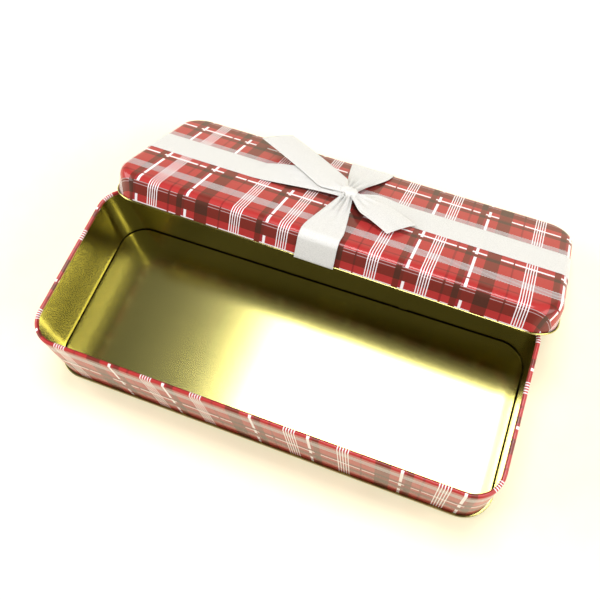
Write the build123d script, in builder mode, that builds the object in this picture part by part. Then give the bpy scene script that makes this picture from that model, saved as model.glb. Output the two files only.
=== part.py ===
"""A rectangular tinplate cookie tin whose loose lid leans, tilted, over the back of its base.

The base is a lapped wall strip with an inward rolled rim, closed by a double-seamed bottom panel.
The lid is one drawn sheet with a rounded shoulder and an outward rolled edge. Two satin ribbons
cross over it and end inside it under adhesive tabs. A third ribbon is knotted round their crossing.

Units are millimetres. The origin is the centre of the base's foot ring, on the surface that the
tin stands on: +X runs along the tin, +Y to the back, where the lid leans, and +Z up.
"""
from build123d import *
import os

# Sheet metal of the base and the lid
TIN_LENGTH = 290.0
TIN_WIDTH = 113.5
TIN_HEIGHT = 59.5
TIN_CORNER = 18.0
SHEET = 0.3

# Base: inward rolled rim, lapped side seam, recessed bottom and double seam
RIM_ROLL = 2.6
LAP_WIDTH = 6.0
LAP_FROM_CENTRE = 60.0
FLOOR_HEIGHT = 4.2
FLOOR_EDGE = 0.8
CHUCK_GAP = 0.1
SEAM_GAP = 0.2
SEAM_HEIGHT = 3.0
SEAM_EDGE = 0.25
BODY_HOOK_TOP = 2.3
COVER_HOOK_FOOT = 0.9

# Lid: a slip fit over the base
LID_CLEARANCE = 0.35
LID_HEIGHT = 18.0
LID_SHOULDER = 5.2
LID_ROLL = 1.5

# Where the centre of the lid's open edge lies, and how the lid leans
LID_CENTRE = (7.2, 91.6, 32.7)
LID_YAW = -1.2
LID_TILT = -33.4

# Ribbons that cross over the lid, and the adhesive tabs on their ends inside it
RIBBON_WIDTH = 25.4
RIBBON_THICKNESS = 0.35
RIBBON_GAP = 0.1
RIBBON_TUCK = 13.0
RIBBON_TURN = 0.3
LENGTHWISE_RIBBON_Y = 1.8
CROSSWISE_RIBBON_X = -1.6
TAB_WIDTH = 30.0
TAB_LENGTH = 10.0
TAB_THICKNESS = 0.2
TAB_CORNER = 1.5

# Tie: a knot over the crossing and two free tails, placed from the centre of the lid's open edge
KNOT_SIZE = (13.0, 11.0, 6.5)
KNOT_CORNER = 3.6
KNOT_EDGE = 2.0
KNOT_GAP = 0.3
TAIL_FRONT_ROOT = (8.5, -3.5, 21.2)
TAIL_FRONT_TIP = (41.0, -21.5, 21.0)
TAIL_BACK_ROOT = (-13.0, 8.5, 22.0)
TAIL_BACK_TIP = (-70.0, 43.0, 27.5)

lid_plane = Plane(
    Location(LID_CENTRE) * Location((0, 0, 0), (0, 0, LID_YAW)) * Location((0, 0, 0), (LID_TILT, 0, 0))
)
lid_axis = Axis(lid_plane.origin, lid_plane.z_dir)
skirt_outset = LID_CLEARANCE + SHEET


def wall_outline(plane, outset):
    """A rounded rectangle on the plane that runs parallel to the base wall, outset from its outside."""
    with BuildSketch(plane) as outline:
        RectangleRounded(TIN_LENGTH + 2 * outset, TIN_WIDTH + 2 * outset, TIN_CORNER + outset)
    return outline.sketch


def wall_band(plane, outset, thickness):
    """The outline of an upright sheet that follows the wall, given the outset of its outer face."""
    with BuildSketch(plane) as band:
        add(wall_outline(plane, outset))
        add(wall_outline(plane, outset - thickness), mode=Mode.SUBTRACT)
    return band.sketch


def section_plane(path, up):
    """A plane across the start of an anticlockwise path: x points outward and y points up."""
    along = path % 0
    return Plane(origin=path @ 0, x_dir=along.cross(up), z_dir=-along)


def roll_section(plane, size, centre_x, open_x, open_y):
    """Three quarters of a tube of sheet; the quarter on the open_x, open_y side of it is open."""
    with BuildSketch(plane) as section:
        with Locations((centre_x, 0)):
            Circle(size / 2)
            Circle(size / 2 - SHEET, mode=Mode.SUBTRACT)
        with Locations((centre_x + open_x * size / 2, open_y * size / 2)):
            Rectangle(size, size, mode=Mode.SUBTRACT)
    return section.sketch


def ribbon_route(plane, half_span, layer):
    """The centre line of a ribbon over the lid, on a plane whose x runs across it and y up it."""
    clear = RIBBON_GAP + RIBBON_THICKNESS / 2
    tuck_x = half_span - SHEET - clear
    foot_x = half_span - SHEET + LID_ROLL + clear
    shoulder_x = half_span + clear + layer
    top = LID_HEIGHT + clear + layer
    right = [(shoulder_x, top), (foot_x, -clear), (tuck_x, -clear), (tuck_x, RIBBON_TUCK)]
    left = [(-x, y) for x, y in reversed(right)]
    shoulder = LID_SHOULDER + clear + layer
    radii = [RIBBON_TURN, RIBBON_TURN, shoulder, shoulder, RIBBON_TURN, RIBBON_TURN]
    with BuildLine(plane) as route:
        FilletPolyline(left + right, radius=radii)
    return route.line


def ribbon_section(route, across):
    """The ribbon's own cross-section, at the start of its route."""
    with BuildSketch(Plane(origin=route @ 0, x_dir=across, z_dir=route % 0)) as section:
        Rectangle(RIBBON_WIDTH, RIBBON_THICKNESS)
    return section.sketch


def tab_sketch(x, y, facing):
    """An adhesive tab's outline, flat on the inside of the skirt, over the end of a ribbon."""
    origin = lid_plane.from_local_coords((x, y, RIBBON_TUCK - TAB_LENGTH / 2 + 2 * RIBBON_GAP))
    normal = lid_plane.from_local_coords(facing) - lid_plane.origin
    with BuildSketch(Plane(origin=origin, x_dir=normal.cross(lid_plane.z_dir), z_dir=normal)) as tab:
        RectangleRounded(TAB_WIDTH, TAB_LENGTH, TAB_CORNER)
    return tab.sketch


def tail_sketch(root, tip):
    """A ribbon tail's outline, from its root at the knot to its cut end, on the tail's own slope."""
    start = lid_plane.from_local_coords(root)
    along = lid_plane.from_local_coords(tip) - start
    across = along.cross(lid_plane.z_dir)
    with BuildSketch(Plane(origin=start, x_dir=along, z_dir=across.cross(along) * -1)) as tail:
        with Locations((along.length / 2, 0)):
            Rectangle(along.length, RIBBON_WIDTH)
    return tail.sketch


# Base wall: one strip, rolled inward at the rim and hooked outward in the bottom seam
with BuildPart() as body_wall:
    rim_centre_height = TIN_HEIGHT - RIM_ROLL / 2
    extrude(wall_band(Plane.XY.offset(SHEET), 0, SHEET), amount=rim_centre_height - SHEET)
    rim_path = wall_outline(Plane.XY.offset(rim_centre_height), 0).face().outer_wire()
    rim_plane = section_plane(rim_path, Vector(0, 0, 1))
    sweep(roll_section(rim_plane, RIM_ROLL, -RIM_ROLL / 2, 1, -1), path=rim_path)
    hook_outset = 2 * (SHEET + SEAM_GAP)
    extrude(wall_band(Plane.XY.offset(SHEET), hook_outset, hook_outset), amount=SHEET)
    extrude(wall_band(Plane.XY.offset(SHEET), hook_outset, SHEET), amount=BODY_HOOK_TOP - SHEET)
    with BuildSketch(Plane.XY.offset(FLOOR_HEIGHT)):
        with Locations((LAP_FROM_CENTRE, TIN_WIDTH / 2 - SHEET - SHEET / 2)):
            Rectangle(LAP_WIDTH, SHEET)
    extrude(amount=TIN_HEIGHT - RIM_ROLL - FLOOR_HEIGHT)

# Bottom panel: recessed floor, then down the inside of the wall and round its hook
with BuildPart() as bottom_panel:
    chuck_outset = -SHEET - CHUCK_GAP
    seam_outset = 3 * (SHEET + SEAM_GAP)
    extrude(wall_outline(Plane.XY, chuck_outset), amount=FLOOR_HEIGHT)
    fillet(bottom_panel.faces().sort_by(Axis.Z)[-1].edges(), FLOOR_EDGE)
    offset(amount=-SHEET, openings=bottom_panel.faces().sort_by(Axis.Z)[0])
    extrude(wall_band(Plane.XY, seam_outset, seam_outset - chuck_outset + SHEET), amount=SHEET)
    extrude(wall_band(Plane.XY, seam_outset, SHEET), amount=SEAM_HEIGHT)
    cap_plane = Plane.XY.offset(SEAM_HEIGHT - SHEET)
    extrude(wall_band(cap_plane, seam_outset, seam_outset - SEAM_GAP), amount=SHEET)
    hook_plane = Plane.XY.offset(COVER_HOOK_FOOT)
    extrude(wall_band(hook_plane, SHEET + SEAM_GAP, SHEET), amount=SEAM_HEIGHT - COVER_HOOK_FOOT)
    foot_edges = bottom_panel.faces().sort_by(Axis.Z)[0].outer_wire().edges()
    cap_face = bottom_panel.faces().filter_by_position(Axis.Z, SEAM_HEIGHT, SEAM_HEIGHT)[0]
    fillet(foot_edges + cap_face.outer_wire().edges(), SEAM_EDGE)

# Lid: drawn in one piece, rolled outward along its open edge
with BuildPart() as lid_shell:
    roll_plane = lid_plane.offset(LID_ROLL / 2)
    skirt_outline = wall_outline(roll_plane, skirt_outset)
    extrude(skirt_outline, amount=LID_HEIGHT - LID_ROLL / 2)
    fillet(lid_shell.faces().sort_by(lid_axis)[-1].edges(), LID_SHOULDER)
    offset(amount=-SHEET, openings=lid_shell.faces().sort_by(lid_axis)[0])
    roll_path = skirt_outline.face().outer_wire()
    roll_start = section_plane(roll_path, lid_plane.z_dir)
    sweep(roll_section(roll_start, LID_ROLL, LID_ROLL / 2 - SHEET, -1, 1), path=roll_path)

# Ribbons that cross over the lid
half_length = TIN_LENGTH / 2 + skirt_outset
half_width = TIN_WIDTH / 2 + skirt_outset

with BuildPart() as ribbon_lengthwise:
    lengthwise_plane = Plane(
        origin=lid_plane.from_local_coords((0, LENGTHWISE_RIBBON_Y, 0)),
        x_dir=lid_plane.x_dir,
        z_dir=-lid_plane.y_dir,
    )
    lengthwise_route = ribbon_route(lengthwise_plane, half_length, 0)
    sweep(ribbon_section(lengthwise_route, lid_plane.y_dir), path=lengthwise_route)

with BuildPart() as ribbon_crosswise:
    crosswise_plane = Plane(
        origin=lid_plane.from_local_coords((CROSSWISE_RIBBON_X, 0, 0)),
        x_dir=lid_plane.y_dir,
        z_dir=lid_plane.x_dir,
    )
    crosswise_route = ribbon_route(crosswise_plane, half_width, RIBBON_THICKNESS + RIBBON_GAP)
    sweep(ribbon_section(crosswise_route, lid_plane.x_dir), path=crosswise_route)

# Adhesive tabs that hold the ribbons' ends to the inside of the skirt
tab_depth = SHEET + RIBBON_THICKNESS + 3 * RIBBON_GAP
tab_places = {
    "tab_right": (half_length - tab_depth, LENGTHWISE_RIBBON_Y, (-1, 0, 0)),
    "tab_left": (tab_depth - half_length, LENGTHWISE_RIBBON_Y, (1, 0, 0)),
    "tab_back": (CROSSWISE_RIBBON_X, half_width - tab_depth, (0, -1, 0)),
    "tab_front": (CROSSWISE_RIBBON_X, tab_depth - half_width, (0, 1, 0)),
}
tabs = []
for tab_name, (tab_x, tab_y, tab_facing) in tab_places.items():
    with BuildPart() as tab:
        extrude(tab_sketch(tab_x, tab_y, tab_facing), amount=TAB_THICKNESS)
    tab.part.label = tab_name
    tabs.append(tab)

# Tie: the knot, and its two tails standing off the lid
knot_foot = LID_HEIGHT + 2 * (RIBBON_THICKNESS + RIBBON_GAP) + KNOT_GAP

with BuildPart() as tie_knot:
    knot_origin = lid_plane.from_local_coords((CROSSWISE_RIBBON_X, LENGTHWISE_RIBBON_Y, knot_foot))
    with BuildSketch(Plane(origin=knot_origin, x_dir=lid_plane.x_dir, z_dir=lid_plane.z_dir)):
        RectangleRounded(KNOT_SIZE[0], KNOT_SIZE[1], KNOT_CORNER)
    extrude(amount=KNOT_SIZE[2])
    fillet(tie_knot.faces().sort_by(lid_axis)[-1].edges(), KNOT_EDGE)

with BuildPart() as tie_tail_front:
    extrude(tail_sketch(TAIL_FRONT_ROOT, TAIL_FRONT_TIP), amount=RIBBON_THICKNESS)

with BuildPart() as tie_tail_back:
    extrude(tail_sketch(TAIL_BACK_ROOT, TAIL_BACK_TIP), amount=RIBBON_THICKNESS)

# Files, one for each piece
body_wall.part.label = "body_wall"
bottom_panel.part.label = "bottom_panel"
lid_shell.part.label = "lid_shell"
ribbon_lengthwise.part.label = "ribbon_lengthwise"
ribbon_crosswise.part.label = "ribbon_crosswise"
tie_knot.part.label = "tie_knot"
tie_tail_front.part.label = "tie_tail_front"
tie_tail_back.part.label = "tie_tail_back"

os.makedirs("parts", exist_ok=True)
pieces = [body_wall, bottom_panel, lid_shell, ribbon_lengthwise, ribbon_crosswise]
pieces += [tie_knot, tie_tail_front, tie_tail_back, *tabs]
for piece in pieces:
    export_step(piece.part, f"parts/{piece.part.label}.step")
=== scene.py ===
# The looks of a tartan cookie tin with a ribboned lid. Sizes are in millimetres, and finished points
# are multiplied by MM into the frame's metres. The lid, its ribbons and its tie are built in the lid's
# own axes, with the origin at the centre of its open edge, and lid_pose takes them to where it leans.
import math

import bmesh
import bpy
import numpy as np
from mathutils import Euler, Matrix, Vector


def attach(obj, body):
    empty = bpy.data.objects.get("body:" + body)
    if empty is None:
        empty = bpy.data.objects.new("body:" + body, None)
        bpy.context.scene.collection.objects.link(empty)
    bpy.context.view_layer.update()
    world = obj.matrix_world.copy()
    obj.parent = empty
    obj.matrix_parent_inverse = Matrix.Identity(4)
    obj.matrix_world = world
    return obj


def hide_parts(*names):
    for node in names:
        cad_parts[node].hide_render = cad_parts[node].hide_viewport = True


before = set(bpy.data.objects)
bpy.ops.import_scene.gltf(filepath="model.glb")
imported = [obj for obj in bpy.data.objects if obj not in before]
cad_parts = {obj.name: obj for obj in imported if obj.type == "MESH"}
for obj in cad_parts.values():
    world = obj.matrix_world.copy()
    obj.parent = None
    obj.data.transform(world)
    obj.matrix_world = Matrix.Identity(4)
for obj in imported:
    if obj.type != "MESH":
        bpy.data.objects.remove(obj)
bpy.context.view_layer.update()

MM = 0.001

# Sheet metal, with the CAD model's own dimensions
TIN_LENGTH, TIN_WIDTH, TIN_HEIGHT, TIN_CORNER = 290.0, 113.5, 59.5, 18.0
SHEET = 0.3
RIM_ROLL = 2.6
LAP_FROM_CENTRE, LAP_WIDTH = 60.0, 6.0
FLOOR_HEIGHT, FLOOR_EDGE = 4.2, 0.8
CHUCK_GAP, SEAM_GAP, SEAM_HEIGHT, SEAM_EDGE = 0.1, 0.2, 3.0, 0.25
COVER_HOOK_FOOT = 0.9
LID_HEIGHT, LID_SHOULDER, LID_ROLL = 18.0, 5.2, 1.5
LID_OUTSET = 0.65
# The length of flat printed sheet that each millimetre of the drawn lid comes from
DRAWING_STRETCH = 0.95

# Meshes: heights of extra rings on the wall and the lid's skirt, how far inside a bend the flat floor
# and the lid's flat top begin, stations round a corner, and the spacing of stations between corners
WALL_RINGS, SKIRT_RING = (12.0, 30.0), 6.0
FLOOR_MARGIN, TOP_MARGIN = 1.5, 2.0
CORNER_STATIONS, STATION_SPACING = 17, 12.0

# Where the lid leans
LID_CENTRE = (7.2, 91.6, 32.7)
LID_YAW, LID_TILT = -1.2, -33.4
lid_yaw = Matrix.Rotation(math.radians(LID_YAW), 4, "Z")
lid_tilt = Matrix.Rotation(math.radians(LID_TILT), 4, "X")
lid_pose = Matrix.Translation(LID_CENTRE) @ (lid_yaw @ lid_tilt)
IN_PLACE = Matrix.Identity(4)

# Ribbons and tie
RIBBON_WIDTH, RIBBON_THICKNESS, RIBBON_CLEAR, RIBBON_TUCK = 25.4, 0.25, 0.25, 13.0
LENGTHWISE_Y, CROSSWISE_X = 1.8, -1.6
# How much higher the upper ribbon lies
LAYER_STEP = 0.45
# Places across a ribbon, as shares of its width from its middle, and rows along it
RIBBON_COLUMNS = np.linspace(-0.5, 0.5, 41)
BAND_ROWS, TAIL_ROWS = 121, 49
KNOT_CENTRE = Vector((CROSSWISE_X, LENGTHWISE_Y, 22.4))
KNOT_RADII = Vector((6.6, 5.4, 3.1))
KNOT_TURN = -30
# Where each tail leaves the knot, the middle of its cut end, and how far its edges curl down
FRONT_TAIL_ROOT, FRONT_TAIL_TIP = (0.0, 0.5, 21.4), (41.0, -21.5, 21.0)
BACK_TAIL_ROOT, BACK_TAIL_TIP = (-3.5, 1.5, 21.4), (-70.0, 43.0, 27.5)
TAIL_CURL = 0.8

# Print: the bands of one repeat across and along the sheet, each (where it starts, kind)
WARP_REPEAT, WARP_START = 89.465, 29.87
WARP_BANDS = [
    (0.0, "lines"), (6.98, "red"), (17.3, "brown"), (21.2, "mid"), (22.8, "dash"), (24.5, "red"),
    (31.8, "lines"), (38.78, "red"), (46.0, "thin"), (47.5, "red"), (52.3, "brown"), (56.2, "mid"),
    (58.0, "dash"), (59.7, "red"), (65.1, "brown"), (73.8, "red"), (81.5, "thin"), (82.7, "red"),
]
WEFT_REPEAT, WEFT_START = 54.5, -33.8
WEFT_BANDS = [
    (0.0, "lines"), (7.7, "red"), (14.2, "thin"), (15.6, "red"), (22.6, "faint"), (23.1, "brown"),
    (24.3, "faint"), (24.8, "brown"), (31.3, "red"), (36.2, "dash"), (37.9, "mid"), (39.4, "brown"),
    (43.2, "red"),
]
WALL_WARP_START, WALL_WEFT_START = 61.65, 8.1
LINE_PITCH, LINE_WIDTH = 1.59, 0.6
HATCH_PITCH, HATCH_SHARE = 1.7, 0.6
# What a band carries, as a ramp's colour: darkness, whether it has lines or hatch, whether it is a
# white dash, and an alpha of 1
BAND_CHANNELS = {
    "red": (0.0, 0.0, 0.0, 1.0),
    "mid": (0.4, 0.0, 0.0, 1.0),
    "thin": (0.62, 0.0, 0.0, 1.0),
    "brown": (1.0, 0.0, 0.0, 1.0),
    "faint": (1.0, 0.0, 0.3, 1.0),
    "lines": (0.0, 1.0, 0.0, 1.0),
    "dash": (0.0, 0.0, 1.0, 1.0),
}
# Colour of the print by the mean darkness of the two bands that cross there
PRINT_COLOURS = [
    (0.0, (0.42, 0.034, 0.032, 1.0)),
    (0.2, (0.31, 0.024, 0.028, 1.0)),
    (0.31, (0.28, 0.024, 0.024, 1.0)),
    (0.5, (0.185, 0.025, 0.018, 1.0)),
    (1.0, (0.080, 0.026, 0.017, 1.0)),
]
THREAD_PITCH = 0.7
LINE_COLOUR = (0.88, 0.82, 0.84, 1.0)
HATCH_COLOUR = (0.46, 0.44, 0.45, 1.0)
# Painted shade: the dark colour that the gold lacquer is mixed towards in crevices, by ambient
# occlusion
PAINTED_CREVICE_SHADE_COLOUR = (0.06, 0.045, 0.012, 1.0)

# Material indices of a printed sheet. A bare sheet has lacquer alone, at index 0
PRINT, LACQUER = 0, 1
BARE = 0
# The angle, in degrees, over which an edge is shaded sharp
SHARP_EDGE, NO_SHARP_EDGE = 35, 180


# ---------------------------------------------------------------- shape tools


def arc(centre, radius, start, end, steps=8):
    """Points along an arc from one angle to another, in degrees, both ends included."""
    angles = [math.radians(start + (end - start) * i / steps) for i in range(steps + 1)]
    return [(centre[0] + radius * math.cos(a), centre[1] + radius * math.sin(a)) for a in angles]


def wall_stations():
    """Places anticlockwise round the wall from the side seam: (point, outward normal, distance
    along the wall from the middle of the front)."""
    long_half, short_half = TIN_LENGTH / 2 - TIN_CORNER, TIN_WIDTH / 2 - TIN_CORNER
    corners = [
        ((-long_half, short_half), 90),
        ((-long_half, -short_half), 180),
        ((long_half, -short_half), 270),
        ((long_half, short_half), 0),
    ]
    places = [(Vector((LAP_FROM_CENTRE, TIN_WIDTH / 2)), Vector((0, 1)))]
    for centre, start in corners:
        for angle in np.radians(np.linspace(start, start + 90, CORNER_STATIONS)):
            normal = Vector((math.cos(angle), math.sin(angle)))
            places.append((Vector(centre) + normal * TIN_CORNER, normal))
    places.append(places[0])
    quarter = math.pi / 2 * TIN_CORNER
    along = -(LAP_FROM_CENTRE + 2 * long_half + 2 * quarter + 2 * short_half)
    stations = []
    for (point, normal), (following, turned) in zip(places, places[1:]):
        length = (following - point).length
        bend = normal.angle(turned)
        steps = 1 if bend > 1e-4 else max(1, round(length / STATION_SPACING))
        span = TIN_CORNER * bend or length
        for i in range(steps):
            share = i / steps
            stations.append((point.lerp(following, share), normal, along + span * share))
        along += span
    return stations, along


STATIONS, WALL_END = wall_stations()


def swept_mesh(name, profile, segment_materials, print_at, pose, caps=()):
    """A closed sheet-metal section of (outset, height) points swept round the wall. Segments whose
    material is None are left open, and caps are the profile points whose rings are filled in."""
    count = len(profile)
    mesh = bmesh.new()
    layer = mesh.loops.layers.uv.new("print_mm")
    rings = []
    for point, normal, _ in STATIONS:
        ring = [Vector((*(point + normal * out), height)) for out, height in profile]
        rings.append([mesh.verts.new((pose @ p) * MM) for p in ring])

    def corner_print(station, k):
        point, normal, along = STATIONS[station % len(STATIONS)]
        if station == len(STATIONS):
            along = WALL_END
        return print_at(point, normal, along, k)

    for i, ring in enumerate(rings):
        following = rings[(i + 1) % len(rings)]
        for k, material in enumerate(segment_materials):
            if material is None:
                continue
            m = (k + 1) % count
            face = mesh.faces.new((ring[k], following[k], following[m], ring[m]))
            face.material_index = material
            places = [(i, k), (i + 1, k), (i + 1, k + 1), (i, k + 1)]
            for loop, place in zip(face.loops, places):
                loop[layer].uv = corner_print(*place)
    for k, material in caps:
        face = mesh.faces.new([ring[k] for ring in rings])
        face.material_index = material
        for i, loop in enumerate(face.loops):
            loop[layer].uv = corner_print(i, k)
    bmesh.ops.recalc_face_normals(mesh, faces=mesh.faces)
    return finished(name, mesh)


def finished(name, mesh, sharp_angle=SHARP_EDGE):
    """The bmesh as a smooth-shaded object."""
    for face in mesh.faces:
        face.smooth = True
    data = bpy.data.meshes.new(name)
    mesh.to_mesh(data)
    mesh.free()
    data.set_sharp_from_angle(angle=math.radians(sharp_angle))
    piece = bpy.data.objects.new(name, data)
    bpy.context.scene.collection.objects.link(piece)
    return piece


def dress(piece, body, slot, *materials):
    """Gives a piece its materials and the body that it rides on. The slot is not used."""
    for material in materials:
        piece.data.materials.append(material)
    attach(piece, body)
    return piece


def profile_lengths(profile):
    """The distance along a profile to each of its points, and back to the first."""
    lengths = [0.0]
    for a, b in zip(profile, profile[1:] + profile[:1]):
        lengths.append(lengths[-1] + math.dist(a, b))
    return lengths


# ---------------------------------------------------------------- material tools


class Graph:
    """A material's nodes. Each call adds one and returns its output."""

    def __init__(self, name):
        self.material = bpy.data.materials.new(name)
        self.material.use_nodes = True
        self.tree = self.material.node_tree
        self.tree.nodes.clear()
        self.shader = self.node("ShaderNodeBsdfPrincipled")
        output = self.node("ShaderNodeOutputMaterial")
        self.tree.links.new(self.shader.outputs[0], output.inputs["Surface"])

    def node(self, kind, inputs=(), **settings):
        made = self.tree.nodes.new(kind)
        for key, value in settings.items():
            setattr(made, key, value)
        for key, value in dict(inputs).items():
            self.put(made.inputs[key], value)
        return made

    def put(self, socket, value):
        if isinstance(value, bpy.types.NodeSocket):
            self.tree.links.new(value, socket)
        else:
            socket.default_value = value

    def shade(self, **inputs):
        for key, value in inputs.items():
            self.put(self.shader.inputs[key.replace("_", " ")], value)

    def math(self, operation, a, b=0.0):
        return self.node("ShaderNodeMath", {0: a, 1: b}, operation=operation).outputs[0]

    def mix(self, factor, a, b):
        made = self.node("ShaderNodeMix", {0: factor, 6: a, 7: b}, data_type="RGBA")
        return made.outputs[2]

    def ramp(self, factor, stops, interpolation="LINEAR"):
        made = self.node("ShaderNodeValToRGB", {0: factor})
        ramp = made.color_ramp
        ramp.interpolation = interpolation
        while len(ramp.elements) < len(stops):
            ramp.elements.new(1.0)
        for element, (position, colour) in zip(ramp.elements, stops):
            element.position = position
            element.color = colour
        return made.outputs[0]

    def span(self, value, low, high, to_low, to_high):
        made = self.node("ShaderNodeMapRange", {0: value, 1: low, 2: high, 3: to_low, 4: to_high})
        return made.outputs[0]

    def split(self, vector):
        return self.node("ShaderNodeSeparateXYZ", {0: vector}).outputs

    def place(self, scale=(1, 1, 1)):
        """Object coordinates, in metres, stretched by scale."""
        coordinates = self.node("ShaderNodeTexCoord").outputs["Object"]
        return self.node("ShaderNodeMapping", {"Vector": coordinates, "Scale": scale}).outputs[0]

    def noise(self, vector, scale, detail=2.0, roughness=0.5):
        inputs = {"Vector": vector, "Scale": scale, "Detail": detail, "Roughness": roughness}
        return self.node("ShaderNodeTexNoise", inputs).outputs[0]

    def bump(self, height, strength, distance, normal=None):
        inputs = {"Strength": strength, "Distance": distance, "Height": height}
        if normal is not None:
            inputs["Normal"] = normal
        return self.node("ShaderNodeBump", inputs).outputs[0]


def band_channels(graph, place, repeat, bands):
    """A coordinate's place in its repeat, in millimetres, and the three channels of its band."""
    share = graph.math("FRACT", graph.math("DIVIDE", place, repeat))
    stops = [(start / repeat, BAND_CHANNELS[kind]) for start, kind in bands]
    channels = graph.split(graph.ramp(share, stops, "CONSTANT"))
    return graph.math("MULTIPLY", share, repeat), channels


def tartan_print():
    """Gloss lacquer over a printed tartan, from the print_mm map."""
    graph = Graph("tartan_print")
    places = graph.split(graph.node("ShaderNodeUVMap", uv_map="print_mm").outputs[0])
    warp, (warp_dark, warp_lines, warp_dash) = band_channels(graph, places[0], WARP_REPEAT, WARP_BANDS)
    _, (weft_dark, weft_lines, weft_dash) = band_channels(graph, places[1], WEFT_REPEAT, WEFT_BANDS)
    darkness = graph.math("MULTIPLY", graph.math("ADD", warp_dark, weft_dark), 0.5)
    colour = graph.ramp(darkness, PRINT_COLOURS)

    diagonal = graph.math("DIVIDE", graph.math("ADD", places[0], places[1]), HATCH_PITCH)
    hatch = graph.math("LESS_THAN", graph.math("FRACT", diagonal), HATCH_SHARE)
    colour = graph.mix(graph.math("MULTIPLY", hatch, weft_lines), colour, HATCH_COLOUR)
    # A white dash stops where a dark band crosses it
    for dash, crossing in ((warp_dash, weft_dark), (weft_dash, warp_dark)):
        shown = graph.math("MULTIPLY", dash, graph.math("LESS_THAN", crossing, 0.5))
        colour = graph.mix(shown, colour, LINE_COLOUR)
    line = graph.math("LESS_THAN", graph.math("MODULO", warp, LINE_PITCH), LINE_WIDTH)
    colour = graph.mix(graph.math("MULTIPLY", line, warp_lines), colour, LINE_COLOUR)

    grain = graph.noise(graph.place(), 900.0, 3.0)
    waves = graph.noise(graph.place(), 26.0, 1.0)
    normal = graph.bump(waves, 0.25, 0.002, graph.bump(grain, 0.05, 0.0002))
    graph.shade(
        Base_Color=colour,
        Roughness=graph.span(grain, 0.3, 0.7, 0.30, 0.42),
        Normal=normal,
        Specular_IOR_Level=0.1,
        Coat_Weight=0.5,
        Coat_Roughness=0.12,
    )
    return graph.material


def gold_lacquer():
    """Gold lacquer on rolled tinplate, whose fine grain runs along the tin. Crevices get painted shade:
    the colour darkens by ambient occlusion.
    """
    graph = Graph("gold_lacquer")
    streaks = graph.noise(graph.place((20.0, 900.0, 900.0)), 1.0, 3.0, 0.6)
    grain = graph.noise(graph.place(), 2200.0, 2.0)
    clouds = graph.noise(graph.place(), 12.0, 2.0)
    # Painted shade in crevices: where ambient occlusion within 2.5 mm is strong, the base colour is
    # mixed towards the painted crevice shade colour
    open_air = graph.node("ShaderNodeAmbientOcclusion", {"Distance": 0.0025}, samples=8).outputs["AO"]
    painted_crevice_shade = graph.span(open_air, 0.45, 0.72, 1.0, 0.0)
    colour = graph.ramp(clouds, [(0.3, (0.455, 0.412, 0.125, 1.0)), (0.7, (0.515, 0.466, 0.150, 1.0))])
    graph.shade(
        Base_Color=graph.mix(painted_crevice_shade, colour, PAINTED_CREVICE_SHADE_COLOUR),
        Metallic=1.0,
        Coat_Weight=0.35,
        Coat_Roughness=0.18,
        Roughness=graph.span(streaks, 0.3, 0.7, 0.172, 0.186),
        Normal=graph.bump(clouds, 0.03, 0.002, graph.bump(grain, 0.03, 0.00005)),
    )
    return graph.material


def satin_ribbon():
    """White woven ribbon with a soft sheen and a fine, plain weave."""
    graph = Graph("satin_ribbon")
    places = graph.split(graph.node("ShaderNodeUVMap", uv_map="print_mm").outputs[0])
    thread_turn = 2 * math.pi / THREAD_PITCH
    along = graph.math("SINE", graph.math("MULTIPLY", places[0], thread_turn))
    across = graph.math("SINE", graph.math("MULTIPLY", places[1], thread_turn))
    weave = graph.math("MULTIPLY", along, across)
    fibre = graph.noise(graph.place(), 1500.0, 2.0)
    height = graph.math("ADD", graph.math("MULTIPLY", weave, 0.5), fibre)
    colour = graph.ramp(height, [(0.0, (0.50, 0.49, 0.47, 1.0)), (0.7, (0.76, 0.75, 0.72, 1.0))])
    graph.shade(
        Base_Color=colour,
        Roughness=0.5,
        Sheen_Weight=0.3,
        Sheen_Roughness=0.4,
        Subsurface_Weight=0.15,
        Subsurface_Radius=(0.002, 0.0018, 0.0016),
        Normal=graph.bump(height, 0.5, 0.0002),
    )
    return graph.material


def adhesive_tab():
    """Adhesive film, yellowed a little, with trapped air."""
    graph = Graph("adhesive_tab")
    bubbles = graph.noise(graph.place(), 500.0, 2.0)
    colour = graph.ramp(bubbles, [(0.35, (0.66, 0.62, 0.48, 1.0)), (0.65, (0.78, 0.75, 0.62, 1.0))])
    graph.shade(Base_Color=colour, Roughness=0.3, Normal=graph.bump(bubbles, 0.3, 0.0003))
    return graph.material


# ---------------------------------------------------------------- base


def base_wall():
    """The printed strip: up outside, round the rolled rim and down inside to the floor."""
    roll = RIM_ROLL / 2
    centre = (-roll, TIN_HEIGHT - roll)
    outside = [(0.0, height) for height in (SHEET, *WALL_RINGS)] + arc(centre, roll, 0, 270, 24)
    inside = arc(centre, roll - SHEET, 270, 0, 24) + [(-SHEET, WALL_RINGS[-1]), (-SHEET, SHEET)]
    profile = outside + inside
    materials = [PRINT] * (len(outside) - 1) + [LACQUER] * (len(inside) + 1)
    heights = [SHEET + length for length in profile_lengths(profile)]

    def print_at(point, normal, along, k):
        return (WALL_WARP_START - along, heights[k] + WALL_WEFT_START)

    return swept_mesh("base_wall", profile, materials, print_at, IN_PLACE)


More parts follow.
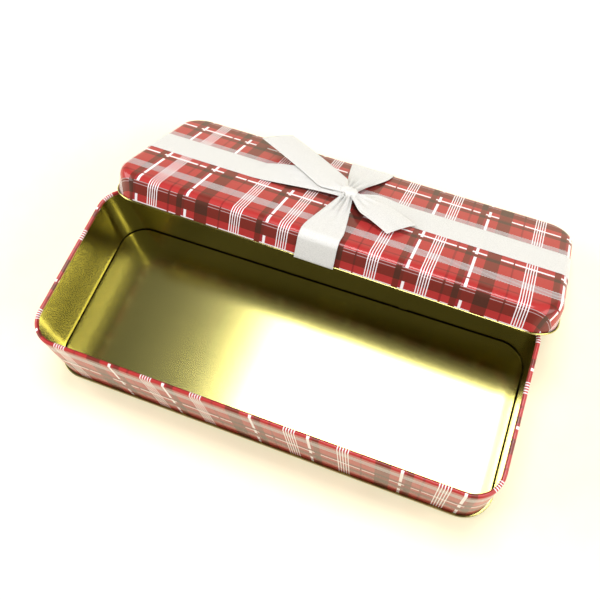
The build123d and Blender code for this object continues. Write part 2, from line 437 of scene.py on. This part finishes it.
def side_lap():
    """The side seam's inner lap: a strip against the inside of the back wall, with soft edges."""
    foot, top = FLOOR_HEIGHT, TIN_HEIGHT - RIM_ROLL
    face = TIN_WIDTH / 2 - SHEET
    # Each (share of the width from its middle, depth from the wall)
    section = [(-0.5, 0.02), (-0.5, 0.22), (-0.46, 0.3), (0.46, 0.3), (0.5, 0.22), (0.5, 0.02)]
    mesh = bmesh.new()
    rows = []
    for height in (foot, (foot + top) / 2, top):
        points = [(LAP_FROM_CENTRE + x * LAP_WIDTH, face - depth, height) for x, depth in section]
        rows.append([mesh.verts.new(Vector(p) * MM) for p in points])
    for row, above in zip(rows, rows[1:]):
        for k in range(len(row)):
            m = (k + 1) % len(row)
            mesh.faces.new((row[k], row[m], above[m], above[k]))
    mesh.faces.new(rows[0])
    mesh.faces.new(rows[-1])
    bmesh.ops.recalc_face_normals(mesh, faces=mesh.faces)
    return finished("side_lap", mesh)


def base_bottom():
    """The recessed floor, down the inside of the wall, and the double seam round the foot."""
    chuck, seam, edge = -SHEET - CHUCK_GAP, 3 * (SHEET + SEAM_GAP), SEAM_EDGE
    hook = SHEET + SEAM_GAP
    floor = FLOOR_HEIGHT - FLOOR_EDGE
    flat = chuck - FLOOR_EDGE - FLOOR_MARGIN
    top = [(flat, FLOOR_HEIGHT)]
    top += arc((chuck - FLOOR_EDGE, floor), FLOOR_EDGE, 90, 0)
    inside = [(chuck, SHEET), (seam - SHEET, SHEET), (seam - SHEET, SEAM_HEIGHT - SHEET)]
    inside += [(hook, SEAM_HEIGHT - SHEET), (hook, COVER_HOOK_FOOT), (hook - SHEET, COVER_HOOK_FOOT)]
    outside = [(hook - SHEET, SEAM_HEIGHT)]
    outside += arc((seam - edge, SEAM_HEIGHT - edge), edge, 90, 0, 6)
    outside += arc((seam - edge, edge), edge, 0, -90, 6)
    outside += arc((chuck - SHEET + edge, edge), edge, -90, -180, 6)
    under = arc((chuck - FLOOR_EDGE, floor), FLOOR_EDGE - SHEET, 0, 90)
    under += [(flat, FLOOR_HEIGHT - SHEET)]
    profile = top + inside + outside + under
    materials = [BARE] * (len(profile) - 1) + [None]

    def no_print(point, normal, along, k):
        return (0.0, 0.0)

    caps = [(0, BARE), (len(profile) - 1, BARE)]
    return swept_mesh("base_bottom", profile, materials, no_print, IN_PLACE, caps)


# ---------------------------------------------------------------- lid


def lid_sheet():
    """The drawn lid: flat top, rounded shoulder, skirt, and an open edge rolled outward."""
    roll, shoulder = LID_ROLL / 2, LID_SHOULDER
    curl_centre = (LID_OUTSET - SHEET + roll, roll)
    bend = (LID_OUTSET - shoulder, LID_HEIGHT - shoulder)
    flat = bend[0] - TOP_MARGIN
    outside = [(flat, LID_HEIGHT)] + arc(bend, shoulder, 90, 0, 14)
    outside += [(LID_OUTSET, SKIRT_RING)] + arc(curl_centre, roll - SHEET, 180, 450, 20)
    inside = arc(curl_centre, roll, 90, -180, 20) + [(LID_OUTSET - SHEET, SKIRT_RING)]
    inside += arc(bend, shoulder - SHEET, 0, 90, 14)
    inside += [(flat, LID_HEIGHT - SHEET)]
    profile = outside + inside
    materials = [PRINT] * (len(outside) - 1) + [LACQUER] * len(inside) + [None]
    lengths = profile_lengths(profile)

    def print_at(point, normal, along, k):
        blank = point + normal * (flat + lengths[k] * DRAWING_STRETCH)
        return (blank.x - WARP_START, WEFT_START - blank.y)

    caps = [(0, PRINT), (len(profile) - 1, LACQUER)]
    return swept_mesh("lid_sheet", profile, materials, print_at, lid_pose, caps)


# ---------------------------------------------------------------- ribbons and tie


def smooth(value):
    """0 to 1, easing in and out."""
    value = min(1.0, max(0.0, value))
    return value * value * (3 - 2 * value)


def pleats(t, count):
    """The height, from 0 to 1, of a row of pleats at t, which runs from -0.5 to 0.5 across a ribbon."""
    return 0.5 - 0.5 * math.cos(2 * math.pi * count * (t + 0.5))


def ribbon_mesh(name, rows):
    """A cloth strip from rows of points across it, in lid axes, each with its distance along."""
    mesh = bmesh.new()
    layer = mesh.loops.layers.uv.new("print_mm")
    verts = [[mesh.verts.new((lid_pose @ Vector(p)) * MM) for p in points] for _, points in rows]
    for i in range(len(rows) - 1):
        for k in range(len(verts[i]) - 1):
            places = [(i, k), (i + 1, k), (i + 1, k + 1), (i, k + 1)]
            face = mesh.faces.new([verts[a][b] for a, b in places])
            for loop, (a, b) in zip(face.loops, places):
                loop[layer].uv = (rows[a][0], b / (len(verts[a]) - 1) * RIBBON_WIDTH)
    piece = finished(name, mesh, NO_SHARP_EDGE)
    solid = piece.modifiers.new("thickness", "SOLIDIFY")
    solid.thickness = RIBBON_THICKNESS * MM
    solid.offset = 0.0
    return piece


def edge_route(half_span, layer):
    """A ribbon's centre line in the plane across it: from its end inside the skirt, round the
    rolled edge and up to where the lid's top begins. Points are (distance from the middle, height)."""
    clear = RIBBON_CLEAR
    tuck = half_span - SHEET - clear
    foot = half_span - SHEET + LID_ROLL + clear
    shoulder = LID_SHOULDER + clear + layer
    corner = (half_span - LID_SHOULDER, LID_HEIGHT - LID_SHOULDER)
    # Down inside the skirt, then the turn under the curl
    route = [(tuck, RIBBON_TUCK * share) for share in np.linspace(1, 0.06, 8)]
    route += [(tuck + 0.25, 0.02), (tuck + 0.6, -clear), (foot - 0.5, -clear), (foot - 0.05, 0.15)]
    # Straight from the curl to the shoulder, short of the arc round the shoulder
    turned_up = 0.7
    bend_start = half_span + clear + layer
    for share in np.linspace(0, 0.92, 7):
        outward = foot + (bend_start - foot) * share
        route.append((outward, turned_up + (corner[1] - turned_up) * share))
    return route + arc(corner, shoulder, 0, 90, 10)


def band_rows(half_span, layer, place_across, pinch):
    """Rows of a ribbon that crosses the lid. place_across(distance, offset, height) gives a point in
    lid axes. pinch(distance, height) gives the width, the lift off the lid, how much more the far side
    lifts, the depth of the pleats and the shift sideways."""
    edge = edge_route(half_span, layer)
    reach, top = edge[-1]
    middle = [(x, top) for x in np.linspace(-reach, reach, BAND_ROWS)[1:-1]]
    line = [(-x, z) for x, z in edge] + middle + edge[::-1]
    lengths = profile_lengths(line)[:-1]
    pleat_count, unevenness = 3.5, 0.35
    rows = []
    for along, (distance, height) in zip(lengths, line):
        width, lift, twist, pleat, shift = pinch(distance, height)
        points = []
        for t in RIBBON_COLUMNS:
            fold = pleats(t, pleat_count) + unevenness * math.sin(9 * t + distance * 0.05)
            rise = lift + twist * (t + 0.5) + pleat * fold
            points.append(place_across(distance, shift + width * t, height + max(rise, 0.0)))
        rows.append((along, points))
    return rows, lengths[-1]


def lengthwise_ribbon():
    """The ribbon along the lid, gathered under the knot."""

    def place(distance, offset, height):
        return (distance, LENGTHWISE_Y + offset, height)

    # The knot's half width, and how far beyond it the slack reaches on either side
    knot_half, left_reach, right_reach = 6, 58, 30
    # How far from the knot's middle the back edge is fully gathered, and how far it takes to spread
    gathered_half, spread_reach = 4, 16
    # How far the knot draws in each edge, and how the ribbon lifts, twists and pleats there
    front_draw, back_draw = 6.0, 9.0
    knot_lift, left_twist, pleat_depth = 2.2, 4.0, 2.4

    def pinch(distance, height):
        from_knot = abs(distance - CROSSWISE_X)
        on_left = distance < CROSSWISE_X
        reach = left_reach if on_left else right_reach
        slack = 1 - min(1.0, max(0.0, from_knot - knot_half) / reach)
        front_edge = -RIBBON_WIDTH / 2 + front_draw * smooth(slack)
        gather = 1 - smooth((from_knot - gathered_half) / spread_reach)
        back_edge = RIBBON_WIDTH / 2 - back_draw * gather
        width = back_edge - front_edge
        lift = knot_lift * math.sin(math.pi / 2 * slack)
        twist = left_twist * math.sin(math.pi * slack) if on_left else 0.0
        pleat = pleat_depth * (1 - width / RIBBON_WIDTH) ** 1.5
        return width, lift, twist, pleat, (front_edge + back_edge) / 2

    rows, length = band_rows(TIN_LENGTH / 2 + LID_OUTSET, 0.0, place, pinch)
    return ribbon_mesh("lengthwise_ribbon", rows), length


def crosswise_ribbon():
    """The ribbon across the lid, over the other one, gathered under the knot."""

    def place(distance, offset, height):
        return (CROSSWISE_X + offset, distance, height)

    # The knot's half width, how far beyond it the gathers reach, and how the ribbon narrows, lifts and
    # pleats there
    knot_half, reach = 3, 47
    gathered_share, knot_lift, pleat_depth = 0.72, 1.6, 2.6
    # How much wider it is at the back of the lid: it widens over one distance back from the middle,
    # and narrows again down the skirt, between two heights
    back_fan = 5.5
    fan_start, fan_reach = 8, 38
    skirt_foot, skirt_rise = 2, 15

    def pinch(distance, height):
        from_knot = abs(distance - LENGTHWISE_Y)
        near = 1 - min(1.0, max(0.0, from_knot - knot_half) / reach)
        on_top = smooth((height - skirt_foot) / skirt_rise)
        fan = back_fan * smooth((distance - fan_start) / fan_reach) * on_top
        width = RIBBON_WIDTH * (1 - gathered_share * near ** 1.15) + fan
        return width, knot_lift * near, 0.0, pleat_depth * near ** 1.5, fan / 2

    rows, length = band_rows(TIN_WIDTH / 2 + LID_OUTSET, LAYER_STEP, place, pinch)
    return ribbon_mesh("crosswise_ribbon", rows), length


def tail(name, root, tip, arch, end_slant, spread):
    """A free tail of the tie, with its edges curled down. It is gathered at the knot, spreads to its
    full width over the spread and ends in a slanted cut. The arch lifts its middle."""
    gathered_share, pleat_depth, pleat_count = 0.24, 2.2, 3
    root = Vector(root)
    run = Vector(tip) - root
    along = run.normalized()
    across = Vector((0, 0, 1)).cross(along).normalized()
    up = along.cross(across)
    rows = []
    for share in np.linspace(0, 1, TAIL_ROWS):
        full = smooth(share * run.length / spread)
        width = RIBBON_WIDTH * (gathered_share + (1 - gathered_share) * full)
        pleat = pleat_depth * (1 - full)
        centre = root + run * share + up * arch * math.sin(math.pi * share)
        points = []
        for t in RIBBON_COLUMNS:
            rise = pleat * pleats(t, pleat_count) - TAIL_CURL * full * (2 * t) ** 2
            slant = along * end_slant * t * share * share
            points.append(centre + across * width * t + up * rise + slant)
        rows.append((run.length * share, points))
    return ribbon_mesh(name, rows), run.length


def front_tail():
    """The tail that goes to the front right."""
    return tail("front_tail", FRONT_TAIL_ROOT, FRONT_TAIL_TIP, arch=2.0, end_slant=1.5, spread=24.0)


def back_tail():
    """The tail that goes to the back left, and stands a little higher off the lid."""
    return tail("back_tail", BACK_TAIL_ROOT, BACK_TAIL_TIP, arch=1.0, end_slant=3.0, spread=15.0)


def knot():
    """The tie's knot: a tight creased wrap, wider along the tails than across them."""
    turns, rings = 48, 20
    creases, crease_depth, crease_twist = 5, 0.07, 2.2
    waist_depth, waist_reach = 0.16, 0.22
    knot_turn = Matrix.Rotation(math.radians(KNOT_TURN), 3, "Z")
    mesh = bmesh.new()
    grid = []
    for i in range(rings + 1):
        tilt = math.pi * i / rings
        waist = 1 - waist_depth * math.exp(-((math.cos(tilt) / waist_reach) ** 2))
        ring = []
        for j in range(turns):
            angle = 2 * math.pi * j / turns
            wave = math.cos(creases * angle + crease_twist * math.sin(2 * tilt))
            girth = math.sin(tilt) * (1 + crease_depth * wave * math.sin(tilt)) * waist
            across, up = girth * math.cos(angle), girth * math.sin(angle)
            local = Vector((KNOT_RADII.x * math.cos(tilt), KNOT_RADII.y * across, KNOT_RADII.z * up))
            ring.append(mesh.verts.new((lid_pose @ (KNOT_CENTRE + knot_turn @ local)) * MM))
        grid.append(ring)
    for ring, following in zip(grid, grid[1:]):
        for j in range(turns):
            k = (j + 1) % turns
            mesh.faces.new((ring[j], ring[k], following[k], following[j]))
    bmesh.ops.remove_doubles(mesh, verts=mesh.verts, dist=1e-6)
    bmesh.ops.recalc_face_normals(mesh, faces=mesh.faces)
    return finished("knot", mesh, NO_SHARP_EDGE)


# ---------------------------------------------------------------- put together

tartan, lacquer, satin, film = tartan_print(), gold_lacquer(), satin_ribbon(), adhesive_tab()

wall = dress(base_wall(), "base", "printed_tinplate", tartan, lacquer)
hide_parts("body_wall")
dress(side_lap(), "base", "gold_lacquer", lacquer)
bottom = dress(base_bottom(), "base", "gold_lacquer", lacquer)
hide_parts("bottom_panel")
lid = dress(lid_sheet(), "lid", "printed_tinplate", tartan, lacquer)
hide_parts("lid_shell")

knot_piece = dress(knot(), "lid", "white_ribbon", satin)
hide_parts("tie_knot")
strips = {
    "ribbon_lengthwise": (lengthwise_ribbon(), "stretched", lid),
    "ribbon_crosswise": (crosswise_ribbon(), "stretched", lid),
    "tie_tail_front": (front_tail(), "gathered", knot_piece),
    "tie_tail_back": (back_tail(), "gathered", knot_piece),
}
for node, ((strip, length), held, support) in strips.items():
    dress(strip, "lid", "white_ribbon", satin)
    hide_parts(node)

for name in ("tab_right", "tab_left", "tab_back", "tab_front"):
    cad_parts[name].data.materials.clear()
    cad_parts[name].data.materials.append(film)


# ---------------------------------------------------------------- studio


def floor():
    """A pale floor that glows a little, as in a light tent."""
    mesh = bmesh.new()
    bmesh.ops.create_grid(mesh, x_segments=4, y_segments=4, size=3.0)
    piece = finished("floor", mesh)
    graph = Graph("pale_floor")
    shade = graph.noise(graph.place(), 60.0, 2.0)
    colour = graph.ramp(shade, [(0.3, (0.90, 0.82, 0.58, 1.0)), (0.7, (0.92, 0.84, 0.60, 1.0))])
    graph.shade(
        Base_Color=colour,
        Roughness=0.6,
        Emission_Color=(0.90, 0.85, 0.68, 1.0),
        Emission_Strength=0.2,
    )
    piece.data.materials.append(graph.material)


def area_light(name, location, aim, size, watts):
    """A rectangular softbox that faces the aim."""
    data = bpy.data.lights.new(name, "AREA")
    data.shape = "RECTANGLE"
    data.size, data.size_y = size
    data.energy = watts
    light = bpy.data.objects.new(name, data)
    light.location = location
    light.rotation_euler = (Vector(aim) - Vector(location)).to_track_quat("-Z", "Y").to_euler()
    bpy.context.scene.collection.objects.link(light)


def surroundings(colour, strength):
    """Even, dim light from all round."""
    world = bpy.data.worlds.new("studio")
    world.use_nodes = True
    background = world.node_tree.nodes["Background"]
    background.inputs["Color"].default_value = (*colour, 1.0)
    background.inputs["Strength"].default_value = strength
    bpy.context.scene.world = world


def camera():
    """The camera, at the photograph's viewing angle."""
    data = bpy.data.cameras.new("camera")
    data.lens = 46.37
    data.sensor_width = 36.0
    data.shift_x = -0.0181
    data.shift_y = -0.1102
    data.clip_start = 0.01
    viewer = bpy.data.objects.new("camera", data)
    viewer.location = (0.097237, -0.141636, 0.487374)
    tilt, roll, turn = 28.0275, 3.2167, 20.4664
    viewer.rotation_euler = Euler([math.radians(angle) for angle in (tilt, roll, turn)], "XYZ")
    bpy.context.scene.collection.objects.link(viewer)
    bpy.context.scene.camera = viewer


floor()
# Above the tin, for the highlight on its floor
area_light("softbox", (0.0, 0.36, 1.50), aim=(0.0, 0.36, 0.0), size=(0.76, 0.48), watts=16.5)
# At both sides
area_light("left_panel", (-2.0, -0.25, 1.2), aim=(0, 0, 0), size=(2.4, 1.3), watts=50)
area_light("right_panel", (2.0, -0.25, 1.2), aim=(0, 0, 0), size=(2.4, 1.3), watts=50)
# Small, for the streak in the inner back left corner
area_light("corner_light", (0.60, -0.36, 1.09), aim=(0, 0, 0), size=(0.16, 0.16), watts=0.5)
surroundings((1.0, 0.96, 0.86), strength=0.15)
camera()
bpy.context.scene.view_settings.view_transform = "Standard"
